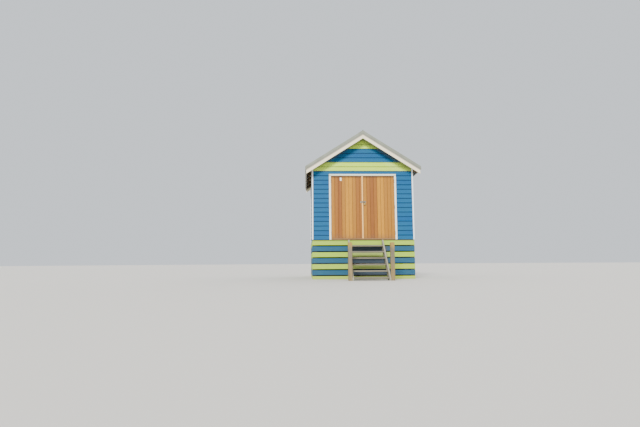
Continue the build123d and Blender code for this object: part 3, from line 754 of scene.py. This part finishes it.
def sandy(tree, base, spot):
    """Oil dulled by sand and splashes at the foot of a leaf."""
    height = ragged(tree, spot["Z"], spot["growth"], 0.08, 0.3, 0.7)
    return mix(tree, between(tree, height, 1.30, 1.46, 0.45, 0.0), base, tint(0x7A5A40))


def oiled_boards(name, start, pitch, tones, layers):
    """Oiled upright boards: each board's own tone, bands of growth, fine dark fibres, and layers."""
    material, tree, shader, place = new_material(name)
    passed = boards_passed(tree, place, "X", pitch, start)
    number = maths(tree, "FLOOR", passed)
    share = maths(tree, "FRACT", passed)
    fibres = board_grain(tree, place, "Z", number, 170.0)
    fine = noise(tree, fibres, 1.0, 4.0, 0.6)
    growth = noise(tree, scaled(tree, fibres, (0.12, 0.12, 0.12)), 1.0, 3.0, 0.5)
    base = own_tone(tree, number, tones)
    base = mix(tree, between(tree, growth, 0.35, 0.7, 0.0, 0.35), base, tint(tan))
    base = mix(tree, between(tree, fine, 0.5, 0.78, 0.0, 0.6), base, tint(dark_fibre))
    base = layered(tree, base, layers, place, share=share, growth=growth)
    tree.links.new(base, shader.inputs["Base Color"])
    tree.links.new(between(tree, fine, 0.3, 0.7, 0.42, 0.6), shader.inputs["Roughness"])
    shader.inputs["Specular IOR Level"].default_value = 0.35
    bumped(tree, shader, fine, 0.3, 0.001)
    return material


for leaf, start, pitch, tones in door_leaves:
    leaf_timber = oiled_boards(f"{leaf}_timber", start, pitch, tones,
                               layers=(jointed(pitch), sandy, shade_and_stain_band(*shade_under_head, joint_dirt_and_shade)))
    give_finish([leaf], leaf_timber)

ledge_timber = timber("ledge_timber", 0xC09560, 0xA0744A, 0x6A4A2E, along="X", across="Z", pitch=0.5,
                      start=1.2)
strip_paint = painted("strip_paint", 0xFFC676, 0xF4BA6C, along="Z", across="X", grime_and_shade=0xA08460, relief=0.15,
                      gloss=0.2)
give_finish(["meeting_strip"], strip_paint)
give_finish(["left_door_ledges", "right_door_ledges"], ledge_timber)

# Clenched nails: two to a board at each ledge, dark against the oiled timber, with a smaller
# row down the meeting strip. None lies under the strip, or near the hasp and staple.
door_face, strip_face = -1.720, -1.732
ledge_levels = (1.450, 2.317, 3.184)
hasp_level = 2.480
strip_middle, strip_edge = -0.015, -0.045
ironwork_half_width, ironwork_half_height = 0.13, 0.2
strip_nail_foot, strip_nail_pitch, strip_nail_steps = 1.36, 0.24, (0, 1, 2, 3, 6, 7, 8)
door_nail_metal = metal("door_nail_metal", 0x6A5A4A, 0x54483C, 0x7A4A2C, rough=0.5, metallic=0.4,
                        stretch=(60, 60, 60), speck=300.0)


def nail_shows(leaf, across, level):
    """Whether a nail in a leaf lies clear of the meeting strip and the ironwork."""
    clear_of_strip = leaf == "right_door" or across < strip_edge
    clear_of_ironwork = abs(across) > ironwork_half_width or abs(level - hasp_level) > ironwork_half_height
    return clear_of_strip and clear_of_ironwork


for leaf, start, pitch, tones in door_leaves:
    places = [(start + (board + share) * pitch, ledge + rise)
              for board in range(len(tones)) for share in (0.28, 0.72)
              for ledge in ledge_levels for rise in (-0.03, 0.03)]
    spots = [((across, door_face, level), (0, -1, 0)) for across, level in places
             if nail_shows(leaf, across, level)]
    fixings(f"{leaf}_nails", spots, door_nail_metal, leaf, radius=0.003, height=0.0008,
            sides=6)
strip_nails = [((strip_middle, strip_face, strip_nail_foot + strip_nail_pitch * step), (0, -1, 0))
               for step in strip_nail_steps]
fixings("meeting_strip_nails", strip_nails, door_nail_metal, "left_door", radius=0.003,
        height=0.0008, sides=6)

# Ironwork: pressed steel butt hinges, and a galvanised hasp and staple with an open padlock of
# brass and steel hanging from the staple. Salt has dulled all of it.
ironwork_face = -1.724
hasp_screw_columns, staple_screw_columns = (-0.0775, -0.0495), (0.031, 0.086)
hinge_feet = (1.420, 2.267, 3.114)
jamb_side, leaf_side = 1.036, 1.035
hinge_screw_places = ((-1.706, 0.015), (-1.722, 0.050), (-1.706, 0.085))
hinge_steel = metal("hinge_steel", 0x8E8A84, 0x6F6A64, 0x6E4C36, rough=0.5, metallic=0.75,
                    stretch=(30, 30, 30), speck=250.0)
hasp_zinc = metal("hasp_zinc", 0x928A7C, 0x786E60, 0x6A4A30, rough=0.5, metallic=0.55,
                  stretch=(40, 40, 40), speck=300.0)
padlock_brass = metal("padlock_brass", 0xB8A06A, 0x94804F, 0x6A5636, rough=0.4, metallic=0.85,
                      stretch=(50, 50, 50), speck=400.0)
give_finish(["door_hinge_plates", "left_door_hinge_leaves", "right_door_hinge_leaves"], hinge_steel)
give_finish(["hasp", "staple"], hasp_zinc)
give_finish(["padlock"], padlock_brass)
for piece_name, leaf, columns in (("hasp_screws", "left_door", hasp_screw_columns),
                                  ("staple_screws", "right_door", staple_screw_columns)):
    spots = [((across, ironwork_face, hasp_level + rise), (0, -1, 0)) for across in columns
             for rise in (-0.02, 0.02)]
    fixings(piece_name, spots, hasp_zinc, leaf, radius=0.0045, height=0.002, sides=12,
            crown=0.6)
for leaf, side in (("left_door", -1), ("right_door", 1)):
    spots = [(back, foot + up) for foot in hinge_feet for back, up in hinge_screw_places]
    for edge, across, way, body in (("jamb", jamb_side, -side, "hut"), ("edge", leaf_side, side, leaf)):
        fixings(f"{leaf}_{edge}_screws", [((side * across, *spot), (way, 0, 0)) for spot in spots],
                door_nail_metal, body, radius=0.004, height=0.0005, sides=12, crown=0.9)

# Door plate: a small bare plate of enamelled metal, 54 by 106 mm, screwed to the head of the left
# leaf by its corners.
plate_x, plate_y, plate_z = -0.716, -1.7216, 3.233
plate_width, plate_thickness, plate_height = 0.054, 0.003, 0.106
plate_front, plate_screw_across, plate_screw_up = -1.723, 0.019, 0.045
shape = bmesh.new()
bmesh.ops.create_cube(shape, size=1)
bmesh.ops.scale(shape, verts=shape.verts, vec=(plate_width, plate_thickness, plate_height))
bmesh.ops.translate(shape, verts=shape.verts, vec=(plate_x, plate_y, plate_z))
upright = [edge for edge in shape.edges if abs(edge.verts[0].co.y - edge.verts[1].co.y) > 0.001]
bmesh.ops.bevel(shape, geom=upright, offset=0.008, affect="EDGES", segments=4, profile=0.5, material=-1)
rim = [edge for edge in shape.edges if all(vert.co.y < plate_front + 0.0005 for vert in edge.verts)]
bmesh.ops.bevel(shape, geom=rim, offset=0.001, affect="EDGES", segments=2, profile=0.5, material=-1)
plate_enamel = painted("plate_enamel", 0xFFFFF8, 0xFAF8EE, along="Z", across="X", grime_and_shade=0xB8B8B0,
                       rough=0.35, relief=0.02)
link_piece("door_plate", shape, plate_enamel, "left_door")
plate_screws = [((plate_x + side * plate_screw_across, plate_front, plate_z + rise * plate_screw_up),
                 (0, -1, 0)) for side in (-1, 1) for rise in (-1, 1)]
fixings("door_plate_screws", plate_screws, hasp_zinc, "left_door", radius=0.003,
        height=0.0015, sides=10, crown=0.6)


# Steps: two stringers of weathered hardwood with treads housed in them, bolted to posts that
# stand outside their feet. Weather has turned them silver grey and rounded their edges, and
# left the posts tan at the head.
def tanned(tree, base, spot):
    """Warmer timber low down and at the head of a post."""
    height = ragged(tree, spot["Z"], spot["growth"], 0.08, 0.3, 0.7)
    base = mix(tree, between(tree, height, 0.42, 0.66, 0.3, 0.0), base, tint(0xB08C3C))
    return mix(tree, between(tree, height, 0.94, 1.05, 0.0, 0.75), base, tint(0xB08C3C))


step_rise, lowest_tread = 0.195, 0.02
stair_pitch = math.radians(45.7)
dark_grain = 0x4A443A
tread_timber = timber("tread_timber", 0x84816F, 0x736B58, dark_grain, along="X", across="Z",
                      pitch=step_rise, start=lowest_tread, fineness=55)
post_timber = timber("post_timber", 0x857B64, 0x726650, dark_grain, along="Z", across="X",
                     pitch=0.6, start=-1.2, fineness=50, layers=(tanned,))
stringer_timber = timber("stringer_timber", 0xA8A492, 0x969078, 0x585248, along="Y", across="X",
                         pitch=0.5, start=-1.0, turn=(-stair_pitch, 0, 0), fineness=55)
eased_copy("worn_treads", ["step_treads"], tread_timber, "hut", width=0.006)
eased_copy("worn_posts", ["step_posts"], post_timber, "hut", width=0.008)
eased_copy("worn_stringers", ["step_stringers"], stringer_timber, "hut", width=0.004)

bolt_y, bolt_z = -2.925, 0.085
post_faces = ((-0.625, -1), (0.735, 1))
step_bolts = [((face, bolt_y, bolt_z), (way, 0, 0)) for face, way in post_faces]
fixings("step_bolt_washers", step_bolts, screw_metal, "hut", radius=0.019, height=0.0025,
        sides=20, crown=0.95)
fixings("step_bolt_heads", step_bolts, screw_metal, "hut", radius=0.011, height=0.009,
        sides=16, crown=0.55)
